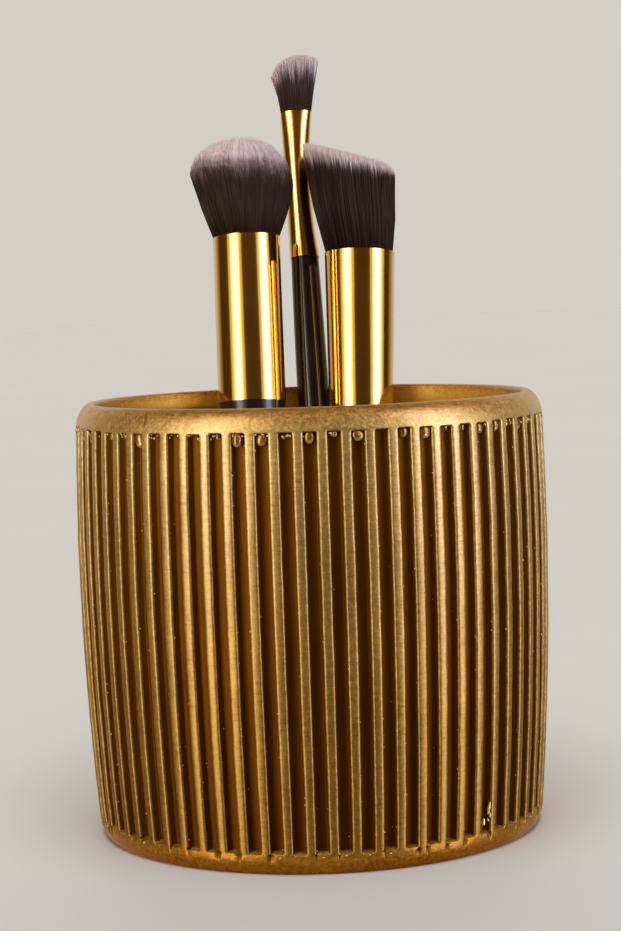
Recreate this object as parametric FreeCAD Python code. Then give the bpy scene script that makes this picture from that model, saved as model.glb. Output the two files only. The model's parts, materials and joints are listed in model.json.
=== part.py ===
import FreeCAD, Part
import math
import os

# Makeup brush holder: a fluted cast pot with three brushes standing in it.
# Millimetres, +Z up, origin at the centre of the pot's base, -Y towards the viewer.

# Pot: a gentle barrel with a plain rim band, a plain base band and a smooth inside
POT_HEIGHT = 104.0
POT_RADIUS = 56.1            # outside, where the barrel meets the rim rounding
FOOT_TAPER = 2.1             # how much smaller the barrel is at its foot
BARREL_SWELL = 1.45          # how far the barrel bulges from the straight taper
RIM_ROUND_HEIGHT = 5.0       # rounding over the outer rim
RIM_ROUND_WIDTH = 2.9
FOOT_ROUND_HEIGHT = 4.4      # rounding under the base band
FOOT_ROUND_WIDTH = 1.5
WALL = 4.5                   # from the rib crests to the inside
FLOOR_THICKNESS = 5.0
FLOOR_CORNER_RADIUS = 5.0
LIP_RADIUS = 0.8             # inner edge of the rim
SOFT_EDGE_SHARE = 0.2        # how far the outer roundings bulge towards their corner
QUARTER_ROUND_SHARE = math.sqrt(2) - 1
OVAL_POLE_SHARE = 4 / 3 * QUARTER_ROUND_SHARE

# Flutes: straight-walled grooves with broken edges, all round the barrel
GROOVE_COUNT = 66
GROOVE_WIDTH = 3.0           # between the walls
GROOVE_DEPTH = 2.0
GROOVE_EDGE_CHAMFER = 0.3    # broken edge of each rib
GROOVE_END_MARGIN = 0.4      # plain barrel between a groove's end and the roundings

# Fits and allowances shared by all pieces
SEAT_GAP = 0.3               # a resting brush stays this far from the floor and the rim
GLUE_GAP = 0.05              # glue film between a ferrule and what is inside it
CUT_OVERRUN = 0.7            # how far a cutter reaches past what it cuts

# Brushes: what they have in common
FERRULE_WALL = 0.45
SHOULDER_STEP = 0.3          # a ferrule stands this proud of the handle's shoulder
TENON_LENGTH = 14.0          # stub of the handle inside the ferrule
PLUG_LENGTH = 5.0            # hardened glue under the hair roots
TUFT_GAP = 0.8               # least space between the left and right tufts, were they upright
PAIR_SHIFT = -0.4            # the middle of the left and right brushes lies this far right of the pot's

# Left brush: straight round ferrule and a domed tuft
DOME_LEAN = 8.6              # degrees away from the viewer
DOME_SIDE_LEAN = -0.35       # degrees to the right
DOME_HANDLE_LENGTH = 96.5
DOME_HANDLE_END_RADIUS = 4.6
DOME_HANDLE_BELLY = 0.3      # outward bow of the handle's side
DOME_FERRULE_LENGTH = 43.1
DOME_FERRULE_FOOT_RADIUS = 8.8
DOME_FERRULE_MOUTH_RADIUS = 8.75
DOME_TUFT_HEIGHT = 26.7
DOME_TUFT_RADIUS = 13.2
DOME_TUFT_CROWN = 10.6       # height of the dome above the widest level
DOME_TUFT_FLARE_BOW = 0.4

# Right brush: round ferrule and a tuft cut flat on a slant
ANGLED_LEAN = 8.8
ANGLED_SIDE_LEAN = 1.45
ANGLED_HANDLE_LENGTH = 91.6
ANGLED_HANDLE_END_RADIUS = 4.2
ANGLED_HANDLE_BELLY = 0.2
ANGLED_FERRULE_LENGTH = 43.1
ANGLED_FERRULE_FOOT_RADIUS = 8.2
ANGLED_FERRULE_MOUTH_RADIUS = 9.15
ANGLED_TUFT_HEIGHT = 26.0    # on the ferrule's axis
ANGLED_TUFT_WIDTH = 23.0
ANGLED_TUFT_DEPTH = 19.0
ANGLED_TUFT_SWEEP = 2.8      # how far the top is swept to the left
ANGLED_TUFT_SLANT = 13.8     # degrees, higher on the left
ANGLED_TUFT_FRONT_SLANT = 8.0  # degrees, lower towards the viewer

# Centre brush: slim handle, ferrule pressed flat at its mouth, small fan tuft
FAN_LEAN = 12.0
FAN_SIDE_LEAN = -1.7
FAN_RIM_SIDE = 1.3           # crosses the rim this far right of the middle
FAN_HANDLE_LENGTH = 135.4
FAN_HANDLE_END_RADIUS = 2.4
FAN_HANDLE_BELLY = 1.1
FAN_FERRULE_LENGTH = 39.8
FAN_FERRULE_FOOT_RADIUS = 3.95
FAN_FERRULE_NECK_HEIGHT = 30.5
FAN_FERRULE_NECK_WIDTH = 7.3
FAN_FERRULE_NECK_DEPTH = 6.8
FAN_FERRULE_NECK_SIDE = -0.4   # the neck is pressed in from the right
FAN_FERRULE_MOUTH_WIDTH = 8.3
FAN_FERRULE_MOUTH_DEPTH = 5.0
FAN_TUFT_HEIGHT = 15.5
FAN_TUFT_WIDTH = 14.3
FAN_TUFT_DEPTH = 6.1
FAN_TUFT_CROWN_RADIUS = 8.05
FAN_TUFT_CROWN_SIDE = 1.6    # the crown's middle lies this far right of the ferrule's axis

ORIGIN = FreeCAD.Vector(0, 0, 0)
UP = FreeCAD.Vector(0, 0, 1)
ACROSS = FreeCAD.Vector(0, 1, 0)
ALONG = FreeCAD.Vector(1, 0, 0)
FULL_TURN = 360

# Radii and levels that several pieces follow
MOUTH_RADIUS = POT_RADIUS - WALL
FOOT_RADIUS = POT_RADIUS - FOOT_TAPER
BARREL_TOP = POT_HEIGHT - RIM_ROUND_HEIGHT
CORE_INSET = FERRULE_WALL + GLUE_GAP
PAIR_SPACING = DOME_TUFT_RADIUS + ANGLED_TUFT_WIDTH / 2 + ANGLED_TUFT_SWEEP + TUFT_GAP


def point(radius, height):
    """A point of a profile, in the plane through the turning axis."""
    return FreeCAD.Vector(radius, 0, height)


def line(start, end):
    return Part.LineSegment(start, end).toShape()


def bowed(start, end, bow):
    """An arc from start to end that bows to the right of the way by the given height."""
    chord = end - start
    right = FreeCAD.Vector(chord.z, 0, -chord.x).normalize()
    crown = (start + end) * 0.5 + right * bow
    return Part.Arc(start, crown, end).toShape()


def rounding(start, corner, end, share):
    """An arc from start to end that bulges towards the corner it rounds."""
    middle = (start + end) * 0.5
    crown = middle + (corner - middle) * share
    return Part.Arc(start, crown, end).toShape()


def quarter_oval(start, corner, end):
    """A quarter of an oval from start to end, tangent to both sides of the corner."""
    curve = Part.BezierCurve()
    leaving = start + (corner - start) * OVAL_POLE_SHARE
    arriving = end + (corner - end) * OVAL_POLE_SHARE
    curve.setPoles([start, leaving, arriving, end])
    return curve.toShape()


def turned(edges):
    """A solid of revolution about Z from the edges of a closed profile."""
    face = Part.Face(Part.Wire(edges))
    return face.revolve(ORIGIN, UP, FULL_TURN)


def pot_blank():
    """The pot before the flutes are cut, as one turned profile."""
    base = point(FOOT_RADIUS - FOOT_ROUND_WIDTH, 0)
    lower = point(FOOT_RADIUS, FOOT_ROUND_HEIGHT)
    upper = point(POT_RADIUS, BARREL_TOP)
    crest = point(POT_RADIUS - RIM_ROUND_WIDTH, POT_HEIGHT)
    lip_out = point(MOUTH_RADIUS + LIP_RADIUS, POT_HEIGHT)
    lip_in = point(MOUTH_RADIUS, POT_HEIGHT - LIP_RADIUS)
    inner_upper = point(MOUTH_RADIUS, BARREL_TOP)
    inner_lower = point(FOOT_RADIUS - WALL, FLOOR_THICKNESS + FLOOR_CORNER_RADIUS)
    floor_edge = point(inner_lower.x - FLOOR_CORNER_RADIUS, FLOOR_THICKNESS)
    floor_middle = point(0, FLOOR_THICKNESS)
    edges = [
        line(ORIGIN, base),
        rounding(base, point(lower.x, base.z), lower, SOFT_EDGE_SHARE),
        bowed(lower, upper, BARREL_SWELL),
        rounding(upper, point(upper.x, crest.z), crest, SOFT_EDGE_SHARE),
        line(crest, lip_out),
        rounding(lip_out, point(lip_in.x, lip_out.z), lip_in, QUARTER_ROUND_SHARE),
        line(lip_in, inner_upper),
        bowed(inner_upper, inner_lower, -BARREL_SWELL),
        rounding(inner_lower, point(inner_lower.x, floor_edge.z), floor_edge, QUARTER_ROUND_SHARE),
        line(floor_edge, floor_middle),
        line(floor_middle, ORIGIN),
    ]
    return turned(edges)


def groove_cutter():
    """One groove's cutter: its section turned along the arc of the barrel's side."""
    lower = point(FOOT_RADIUS, FOOT_ROUND_HEIGHT)
    upper = point(POT_RADIUS, BARREL_TOP)
    chord = upper - lower
    outward = FreeCAD.Vector(chord.z, 0, -chord.x).normalize()
    arc_radius = chord.Length ** 2 / (8 * BARREL_SWELL) + BARREL_SWELL / 2
    centre = (lower + upper) * 0.5 + outward * (BARREL_SWELL - arc_radius)
    half_sweep = math.degrees(math.asin((chord.Length / 2 - GROOVE_END_MARGIN) / arc_radius))

    def place(out, side):
        return centre + outward * (arc_radius + out) + ACROSS * side

    wall = GROOVE_WIDTH / 2
    flare = wall + GROOVE_EDGE_CHAMFER + CUT_OVERRUN
    section = Part.Face(Part.makePolygon([
        place(-GROOVE_DEPTH, -wall),
        place(-GROOVE_DEPTH, wall),
        place(-GROOVE_EDGE_CHAMFER, wall),
        place(CUT_OVERRUN, flare),
        place(CUT_OVERRUN, -flare),
        place(-GROOVE_EDGE_CHAMFER, -wall),
        place(-GROOVE_DEPTH, -wall),
    ]))
    section.rotate(centre, ACROSS, half_sweep)
    return section.revolve(centre, ACROSS, -2 * half_sweep)


def make_pot():
    """The barrel with one groove facing the viewer and the rest spaced evenly round it."""
    cutter = groove_cutter()
    cutters = []
    for index in range(GROOVE_COUNT):
        copy = cutter.copy()
        copy.rotate(ORIGIN, UP, FULL_TURN * index / GROOVE_COUNT - FULL_TURN / 4)
        cutters.append(copy)
    return pot_blank().cut(Part.makeCompound(cutters))


def level_oval(half_width, half_depth, height, shift=0):
    """A level section, round or wider along X."""
    centre = FreeCAD.Vector(shift, 0, height)
    if half_width == half_depth:
        return Part.Wire(Part.Circle(centre, UP, half_width).toShape())
    wide_end = centre + FreeCAD.Vector(half_width, 0, 0)
    deep_end = centre + FreeCAD.Vector(0, half_depth, 0)
    return Part.Wire(Part.Ellipse(wide_end, deep_end, centre).toShape())


def slab(low, high, reach):
    """A wide level block, for slicing out what lies between two heights."""
    block = Part.makeBox(2 * reach, 2 * reach, high - low)
    block.translate(FreeCAD.Vector(-reach, -reach, low))
    return block


def handle_body(length, end_radius, shoulder_radius, belly):
    """A turned handle hanging below level 0, with a round end."""
    tip = point(0, -length)
    end_side = point(end_radius, end_radius - length)
    shoulder = point(shoulder_radius, 0)
    edges = [
        rounding(tip, point(end_radius, -length), end_side, QUARTER_ROUND_SHARE),
        bowed(end_side, shoulder, belly),
        line(shoulder, ORIGIN),
        line(ORIGIN, tip),
    ]
    return turned(edges)


def dome_tuft():
    """Round tuft that flares from the ferrule's mouth and closes in a dome."""
    base = point(DOME_FERRULE_MOUTH_RADIUS - CORE_INSET, DOME_FERRULE_LENGTH)
    top = point(0, DOME_FERRULE_LENGTH + DOME_TUFT_HEIGHT)
    widest = point(DOME_TUFT_RADIUS, top.z - DOME_TUFT_CROWN)
    middle = point(0, base.z)
    edges = [
        bowed(base, widest, DOME_TUFT_FLARE_BOW),
        quarter_oval(widest, point(widest.x, top.z), top),
        line(top, middle),
        line(middle, base),
    ]
    return turned(edges)


def angled_tuft(base):
    """Tuft that flares and sweeps left from the ferrule's mouth, trimmed by a slanted plane."""
    reach = ANGLED_TUFT_WIDTH + ANGLED_TUFT_SWEEP
    trim_height = ANGLED_FERRULE_LENGTH + ANGLED_TUFT_HEIGHT
    spare = reach * math.tan(math.radians(ANGLED_TUFT_SLANT))
    growth = 1 + spare / ANGLED_TUFT_HEIGHT
    half_width = ANGLED_FERRULE_MOUTH_RADIUS + (ANGLED_TUFT_WIDTH / 2 - ANGLED_FERRULE_MOUTH_RADIUS) * growth
    half_depth = ANGLED_FERRULE_MOUTH_RADIUS + (ANGLED_TUFT_DEPTH / 2 - ANGLED_FERRULE_MOUTH_RADIUS) * growth
    top = level_oval(half_width, half_depth, trim_height + spare, -ANGLED_TUFT_SWEEP * growth)
    waste = slab(0, reach, reach)
    waste.rotate(ORIGIN, ACROSS, ANGLED_TUFT_SLANT)
    waste.rotate(ORIGIN, ALONG, ANGLED_TUFT_FRONT_SLANT)
    waste.translate(UP * trim_height)
    return Part.makeLoft([base, top], True).cut(waste)


def fan_tuft(base):
    """Flat tuft that flares from the ferrule's mouth, trimmed to a round crown set off to the right."""
    reach = FAN_TUFT_WIDTH
    top_height = FAN_FERRULE_LENGTH + FAN_TUFT_HEIGHT
    crown_height = top_height - FAN_TUFT_CROWN_RADIUS
    top = level_oval(FAN_TUFT_WIDTH / 2, FAN_TUFT_DEPTH / 2, top_height)
    crown_start = FreeCAD.Vector(FAN_TUFT_CROWN_SIDE, -reach, crown_height)
    crown = Part.makeCylinder(FAN_TUFT_CROWN_RADIUS, 2 * reach, crown_start, ACROSS)
    keep = crown.fuse(slab(FAN_FERRULE_LENGTH, crown_height, reach))
    return Part.makeLoft([base, top], True).common(keep)


def brush(ferrule_length, sections, handle, tuft):
    """A brush's pieces stacked along Z from the ferrule's foot; sections(inset) gives the tube's ovals."""
    reach = 2 * ferrule_length
    plug_top = TENON_LENGTH + PLUG_LENGTH
    core = Part.makeLoft(sections(CORE_INSET), True)
    tenon = core.common(slab(0, TENON_LENGTH, reach))
    roots = core.common(slab(plug_top, ferrule_length, reach))
    return {
        "handle": handle.fuse(tenon),
        "ferrule": Part.makeLoft(sections(0), True).cut(Part.makeLoft(sections(FERRULE_WALL), True)),
        "glue": core.common(slab(TENON_LENGTH, plug_top, reach)),
        "hair": roots.fuse(tuft),
    }


def round_tube(foot_radius, mouth_radius, length):
    """Sections of a straight tapered tube."""
    def sections(inset):
        return [level_oval(foot_radius - inset, foot_radius - inset, 0),
                level_oval(mouth_radius - inset, mouth_radius - inset, length)]
    return sections


def pressed_tube(inset):
    """Sections of the centre brush's ferrule: round foot, neck pressed in from one side, flattened mouth."""
    foot = FAN_FERRULE_FOOT_RADIUS - inset
    neck_half_width = FAN_FERRULE_NECK_WIDTH / 2 - inset
    neck_half_depth = FAN_FERRULE_NECK_DEPTH / 2 - inset
    mouth_half_width = FAN_FERRULE_MOUTH_WIDTH / 2 - inset
    mouth_half_depth = FAN_FERRULE_MOUTH_DEPTH / 2 - inset
    return [level_oval(foot, foot, 0),
            level_oval(neck_half_width, neck_half_depth, FAN_FERRULE_NECK_HEIGHT, FAN_FERRULE_NECK_SIDE),
            level_oval(mouth_half_width, mouth_half_depth, FAN_FERRULE_LENGTH)]


def make_dome_brush():
    sections = round_tube(DOME_FERRULE_FOOT_RADIUS, DOME_FERRULE_MOUTH_RADIUS, DOME_FERRULE_LENGTH)
    handle = handle_body(DOME_HANDLE_LENGTH, DOME_HANDLE_END_RADIUS,
                         DOME_FERRULE_FOOT_RADIUS - SHOULDER_STEP, DOME_HANDLE_BELLY)
    return brush(DOME_FERRULE_LENGTH, sections, handle, dome_tuft())


def make_angled_brush():
    sections = round_tube(ANGLED_FERRULE_FOOT_RADIUS, ANGLED_FERRULE_MOUTH_RADIUS, ANGLED_FERRULE_LENGTH)
    handle = handle_body(ANGLED_HANDLE_LENGTH, ANGLED_HANDLE_END_RADIUS,
                         ANGLED_FERRULE_FOOT_RADIUS - SHOULDER_STEP, ANGLED_HANDLE_BELLY)
    tuft = angled_tuft(sections(CORE_INSET)[-1])
    return brush(ANGLED_FERRULE_LENGTH, sections, handle, tuft)


def make_fan_brush():
    handle = handle_body(FAN_HANDLE_LENGTH, FAN_HANDLE_END_RADIUS,
                         FAN_FERRULE_FOOT_RADIUS - SHOULDER_STEP, FAN_HANDLE_BELLY)
    tuft = fan_tuft(pressed_tube(CORE_INSET)[-1])
    return brush(FAN_FERRULE_LENGTH, pressed_tube, handle, tuft)


def stand_in_pot(pieces, lean, side_lean, rim_side, handle_length, end_radius):
    """Stand a brush on the floor so that it leans on the rim, on the side away from the viewer."""
    axis = FreeCAD.Vector(math.tan(math.radians(side_lean)), math.tan(math.radians(lean)), 1).normalize()
    widest = max(pieces[name].optimalBoundingBox().XMax for name in ("handle", "ferrule"))
    reach = MOUTH_RADIUS - (widest + SEAT_GAP) / axis.z
    crossing = FreeCAD.Vector(rim_side, math.sqrt(reach ** 2 - rim_side ** 2), POT_HEIGHT)
    end_height = FLOOR_THICKNESS + SEAT_GAP + end_radius
    end_centre = crossing - axis * ((POT_HEIGHT - end_height) / axis.z)
    ferrule_foot = end_centre + axis * (handle_length - end_radius)
    print("axis", [round(value, 6) for value in axis], "ferrule foot", [round(v, 3) for v in ferrule_foot])
    placement = FreeCAD.Placement(ferrule_foot, FreeCAD.Rotation(UP, axis))
    for piece in pieces.values():
        piece.Placement = placement


def export(name, shape):
    print(name, len(shape.Solids), "solid,", round(shape.Volume, 1), "mm3, valid", shape.isValid())
    shape.exportStep("parts/" + name + ".step")


def main():
    os.makedirs("parts", exist_ok=True)
    export("pot", make_pot())
    dome = make_dome_brush()
    angled = make_angled_brush()
    fan = make_fan_brush()
    dome_rim_side = PAIR_SHIFT - PAIR_SPACING / 2
    angled_rim_side = PAIR_SHIFT + PAIR_SPACING / 2
    stand_in_pot(dome, DOME_LEAN, DOME_SIDE_LEAN, dome_rim_side, DOME_HANDLE_LENGTH, DOME_HANDLE_END_RADIUS)
    stand_in_pot(angled, ANGLED_LEAN, ANGLED_SIDE_LEAN, angled_rim_side,
                 ANGLED_HANDLE_LENGTH, ANGLED_HANDLE_END_RADIUS)
    stand_in_pot(fan, FAN_LEAN, FAN_SIDE_LEAN, FAN_RIM_SIDE, FAN_HANDLE_LENGTH, FAN_HANDLE_END_RADIUS)
    brushes = {"dome_brush": dome, "angled_brush": angled, "fan_brush": fan}
    for brush_name, pieces in brushes.items():
        for piece_name, shape in pieces.items():
            export(brush_name + "_" + piece_name, shape)


main()
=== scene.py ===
import sys
import bmesh
import bpy
import json
import math
import numpy as np
from mathutils import Matrix, Vector


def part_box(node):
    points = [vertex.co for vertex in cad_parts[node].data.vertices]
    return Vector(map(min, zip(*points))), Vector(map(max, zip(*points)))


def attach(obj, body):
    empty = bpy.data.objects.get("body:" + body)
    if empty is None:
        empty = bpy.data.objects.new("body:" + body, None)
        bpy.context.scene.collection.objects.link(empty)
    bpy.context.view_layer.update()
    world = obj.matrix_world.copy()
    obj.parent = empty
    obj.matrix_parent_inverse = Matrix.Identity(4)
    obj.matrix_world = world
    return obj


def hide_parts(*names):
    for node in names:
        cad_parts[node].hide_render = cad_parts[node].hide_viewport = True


# Makeup brush holder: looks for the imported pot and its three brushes.
# Shapes are worked out in millimetres and scaled to metres when a mesh is made.

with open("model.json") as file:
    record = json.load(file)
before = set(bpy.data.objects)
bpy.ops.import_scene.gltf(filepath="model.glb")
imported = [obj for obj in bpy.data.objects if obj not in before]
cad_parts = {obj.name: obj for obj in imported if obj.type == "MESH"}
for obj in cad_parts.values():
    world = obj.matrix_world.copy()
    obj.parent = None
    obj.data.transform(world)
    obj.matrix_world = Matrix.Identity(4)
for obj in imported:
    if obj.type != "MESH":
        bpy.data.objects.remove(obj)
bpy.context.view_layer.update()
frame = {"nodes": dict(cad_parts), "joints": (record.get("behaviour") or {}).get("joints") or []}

MM = 0.001
SEED = 66
QUARTER_ROUND_SHARE = math.sqrt(2) - 1

# Pot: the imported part's outline, with the small forms that casting leaves
POT_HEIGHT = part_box("pot")[1].z / MM
RIM_RADIUS = 56.1  # outside, where the barrel meets the rim rounding
FOOT_TAPER = 2.1
BARREL_SWELL = 1.45
RIM_ROUND_HEIGHT = 5.0
RIM_ROUND_WIDTH = 2.9
RIM_BULGE_SHARE = 0.25
BAND_HEIGHT = 4.4  # plain band under the grooves
BAND_BEVEL_HEIGHT = 2.8
BAND_BEVEL_WIDTH = 1.3
BAND_LIP = 0.25  # rounding where the band meets the table
MOUTH_SLICE = 0.25  # depth of a ferrule's end that its mouth is read from
WALL = 4.5
LIP_RADIUS = 0.8
FLOOR_THICKNESS = 5.0
FLOOR_CORNER_RADIUS = 5.0
FLOOR_RING_SHARES = (0.75, 0.5, 0.25)
UNDER_RING_SHARES = (0.94, 0.75, 0.5, 0.25)
RIM_STEPS = 9  # rows of each rounded part of the outline
LIP_STEPS = 4
INNER_STEPS = 26
CORNER_STEPS = 6
SIDE_STEPS = 40
CRACK_WIDTH = 0.3
CRACK_DEPTH = 0.12
CRACK_AT = -131.8  # degrees round from the right, so left of the front
CRACK_WANDER = 0.3

GROOVE_COUNT = 66
GROOVE_DEPTH = 2.0
GROOVE_HALF_WIDTH = 1.5
GROOVE_END_MARGIN = 0.4
# One groove's half section: distance from its middle, share of the full depth, share of painted edge
# highlight
GROOVE_OFFSETS = (1.0, 1.33, 1.47, 1.62, 1.82, 2.2)
GROOVE_DEPTH_SHARES = (1.0, 0.94, 0.28, 0.085, 0.025, 0.0)
GROOVE_HIGHLIGHT_SHARES = (0.0, 0.0, 0.0, 1.0, 0.55, 0.0)
# The same towards a groove's end: distance inside the end, and share of the full depth
END_DISTANCES = (-0.3, -0.1, 0.0, 0.12, 0.3)
END_DEPTH_SHARES = (0.0, 0.04, 0.2, 0.96, 1.0)
RIB_FADE_DISTANCES = (-0.8, 0.3)  # rib finish comes in from outside a groove's end to inside it
LOW_EDGE_DISTANCES = (-0.5, -0.2, 0.05, 0.2)  # and the painted highlight along a groove's lower end
LOW_EDGE_HIGHLIGHT_SHARES = (0.0, 0.7, 0.7, 0.0)
END_ROW_STEP = 0.22
END_ROWS = 5
BARREL_ROW_STEP = 1.55
EDGE_WANDER = 0.05  # how far a groove's walls stray
END_WANDER = 0.16
SURFACE_WANDER = 0.05
SURFACE_WAVE_LENGTHS = (21.0, 5.5)
INNER_WAVE_LENGTH = 17.0
WAVE_COUNT = 28
WAVE_PEAK = 3.0  # height of the tallest bumps, in standard deviations
WANDER_STEP = 2.2  # length of the strays along a groove

# Pits in the base band
PIT_SHARE = 0.7
PIT_RADIUS = 0.42
PIT_RADIUS_SHARES = (0.6, 1.1)
PIT_DEPTH = 0.55
PIT_LEVEL = 4.4
PIT_STEEPNESS = 4

# Burst blisters at the grooves' upper ends, beads beside them, and specks elsewhere
BLISTER_CHANCES = (0.42, 0.2)  # that a groove has one large blister, or some small ones
BLISTER_HALF_WIDTHS = (1.1, 1.5)
SMALL_BLISTER_HALF_WIDTHS = (0.45, 0.8)
SMALL_BLISTERS_MOST = 3
BLISTER_STRETCHES = (0.95, 1.25)
BLISTER_DEPTHS = (0.8, 1.4)  # of its middle under the ribs' faces
BLISTER_BULGE_SHARE = 0.75  # how far one stands out, of its half width
BLISTER_HANG_SHARES = (0.5, 1.0)  # how far one's middle is below the groove's end, of its half height
CRESCENT_LEVELS = (0.3, 0.7)  # where the painted highlight on the lower edge of one comes in, of its half height
CRESCENT_SIDES = (0.45, 0.8)  # and where it ends at its sides, of its half width
BEAD_DEPTHS = (0.0, 0.5)
BEAD_PALE = 0.45
FLAKE_PALES = (0.3, 1.0)  # from one side of a flake to the other
BEAD_RADII = (0.12, 0.34)
BEADS_MOST = 6
BEAD_LUMP_SHARE = 0.14
BEAD_WAVE_COUNT = 6
BEAD_WAVE_LENGTH = 2.0  # in a bead's radius
FORM_DIVISIONS = {"blister": 3, "bead": 2, "speck": 1, "flake": 3}  # of the ball that each is made from
BEAD_STRETCH_SHARES = (0.85, 1.15)
SPECK_COUNT = 1000
SPECK_RADII = (0.07, 0.2)
# pale paint of the specks, partly a painted glint
SPECK_PALE_GLINT = 0.9
SPECK_EDGE_SHARE = 0.65  # of the specks sit on a rib's edge
SPECK_EDGE_OFFSETS = (2, 4)  # which groove offsets those take, first and past the last
SPECK_GROOVE_OFFSETS = (0, 3)  # and the others
CHIP_GROOVE = 8  # grooves to the right of the front one
# Flakes of the chip: place across and level, half width and half height, lean in degrees
CHIP_FLAKES = ((-0.6, 7.3, 0.42, 0.85, -8.0), (1.1, 10.4, 0.36, 1.5, -18.0),
               (1.55, 8.6, 0.34, 0.9, 8.0), (0.8, 7.6, 0.26, 0.5, 30.0))

# Tufts, from the middle of the ferrule's mouth; half sizes
ROOT_SINK = 1.2
ROOT_SHARE = 0.925  # of the mouth's half size, which leaves the ferrule's wall free
DOME_CENTRE = (-0.6, 0.0, 16.4)
DOME_RADII = (13.2, 12.8, 10.5)
DOME_SPAN = 105.0  # degrees from the top that the tips cover
DOME_TILT = 0.15  # how much the dome's widest level rises to the left
DOME_CROWD = 0.9  # below 1 spreads the tips towards the edge
DOME_LIGHT_LEVEL = 13.2
ANGLED_CENTRE = (-2.75, 0.0)
ANGLED_HALF = (12.0, 10.0)
ANGLED_TOP = 25.9
ANGLED_SLANT = 14.8  # degrees, higher on the left
ANGLED_FRONT_SLANT = 9.0  # degrees, lower towards the viewer
ANGLED_EDGE_DROP = 2.0
ANGLED_EDGE_START_SHARE = 0.8
ANGLED_EDGE_SHARES = (0.5, 0.5)  # of the drop: all round, and more to the right
ANGLED_LIGHT_BAND = 5.4
ANGLED_LIGHT_TAPER = 0.09  # the pale band narrows to the right
FAN_HALF = (6.35, 2.7)
FAN_SIDE = 0.4
FAN_CROWN_CENTRE = (1.9, 8.0)
FAN_CROWN_HALF = (8.2, 7.8)
FAN_EDGE_DROP = 0.9
FAN_LIGHT_BAND = 8.2
# Bend of a hair: shares of its root's place, of its way out and of its height; and its shift to the right
HAIR_BEND_SHARES = {"dome_brush": (1.0, 0.7, 0.5), "angled_brush": (1.12, 0.45, 0.35),
                    "fan_brush": (1.05, 0.2, 0.42)}
HAIR_SHIFTS = {"dome_brush": 0.0, "angled_brush": 0.0, "fan_brush": 0.3}
# Paling of hair: the length that it takes, how much it varies by hair and by clump, and its most
PALINGS = {"dome_brush": (8.0, 1.0, 1.6, 0.9), "angled_brush": (2.8, 1.2, 0.3, math.inf),
           "fan_brush": (5.4, 1.4, 1.5, math.inf)}
CLUMP_GRIDS = {"dome_brush": (15, 15), "angled_brush": (16, 16), "fan_brush": (13, 2)}
# Strokes run to the middle of a tuft's top at power 0, and end at its edge at power 1
STROKE_POWERS = {"dome_brush": 0.0, "angled_brush": 1.0, "fan_brush": 1.0}
CORE_SHARE = 0.94  # the dark heart of a tuft fills this much of it
CORE_TOP_SHARE = 0.965
CORE_COLUMNS = 48
CORE_LEVEL_SHARES = (0.0, 0.15, 0.3, 0.5, 0.7, 0.85, 0.95)
CORE_RING_SHARES = (0.8, 0.6, 0.4, 0.2)
CORE_TONE = 0.4
UNREFLECTED_TUFT = "dome_brush"  # left out of reflections, so the fan brush's ferrule keeps its shine
STRAND_RADIUS = 0.09
STRAND_RADIUS_SHARES = (0.75, 1.2)
STRAND_SIDES = 3
STRAND_LEVELS = (0.0, 0.5, 0.94)
STRAND_WIDTH_SHARES = (1.0, 1.0, 0.8)
STRAND_COUNTS = {"dome_brush": 12000, "angled_brush": 12000, "fan_brush": 5200}
STRAND_OUTWARD = 0.45  # below 0.5 puts more hairs near the outside
TIP_SCATTER = 0.2
END_SHARE = 0.988
END_SCATTER_SHARE = 0.013

# Camera, found from the rim, the base and the ribs
FOCAL_PIXELS = 2250.0
IMAGE_LONG_SIDE = 931.0
SENSOR_WIDTH = 36.0
CAMERA_PLACE = (0.0, -543.7, 129.8)
CAMERA_DOWN = 4.5  # degrees
CAMERA_ROLL = 1.875  # degrees, which lifts the picture's right side

# Studio
FLOOR_HALF_SIZE = 9000.0
FLOOR_MOTTLE = 260.0
PANEL_DISTANCE = 460.0
PANEL_LEVEL = 200.0  # height of a panel's middle
PANEL_HEIGHT = 900.0
LEFT_BEARING = -48.0  # degrees right of the viewer
RIGHT_BEARING = 64.0
PANEL_WIDTHS = (170.0, 290.0, 460.0)  # nested, so that a panel fades towards its sides
PANEL_GLOWS = (5.0, 1.7, 0.75)  # brightness that each adds
LEFT_COLOURS = ((0.95, 0.97, 1.03), (0.97, 0.90, 0.80), (1.0, 0.82, 0.50))
RIGHT_COLOURS = ((0.91, 1.0, 1.36), (0.91, 0.91, 1.05), (0.91, 0.82, 0.62))
CEILING_STRENGTH = 2.1
CEILING_SPREAD = 50.0  # degrees
CEILING_TILT = 18.0  # degrees, from the viewer's side
CEILING_COLOUR = (1.0, 0.98, 0.95)
ROOM_FRONT_COLOUR = (1.0, 0.62, 0.28)
ROOM_BACK_COLOUR = (1.0, 0.90, 0.74)
ROOM_BEHIND = (0.3, 0.75, 0.075, 0.9)  # from and to across the room, and the glow there
ROOM_ABOVE = (-0.15, 0.6, 0.5, 1.2)  # from and to up the room, and the glow there
BACKDROP_COLOUR = (0.651, 0.616, 0.565)

# Finishes: sizes of the marks in millimetres, depths of the relief in millimetres
RIB_GOLD = (0.435, 0.252, 0.064)
RIB_SIDE_SHADE_GOLD = (0.26, 0.12, 0.014)
GROOVE_SHADE_BROWN = (0.145, 0.047, 0.002)
GROOVE_DEEP_SHADE_BROWN = (0.125, 0.040, 0.0015)
# painted highlight colour along the ribs' edges and the grooves' lower ends
EDGE_HIGHLIGHT_GOLD = (0.51, 0.36, 0.135)
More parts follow.
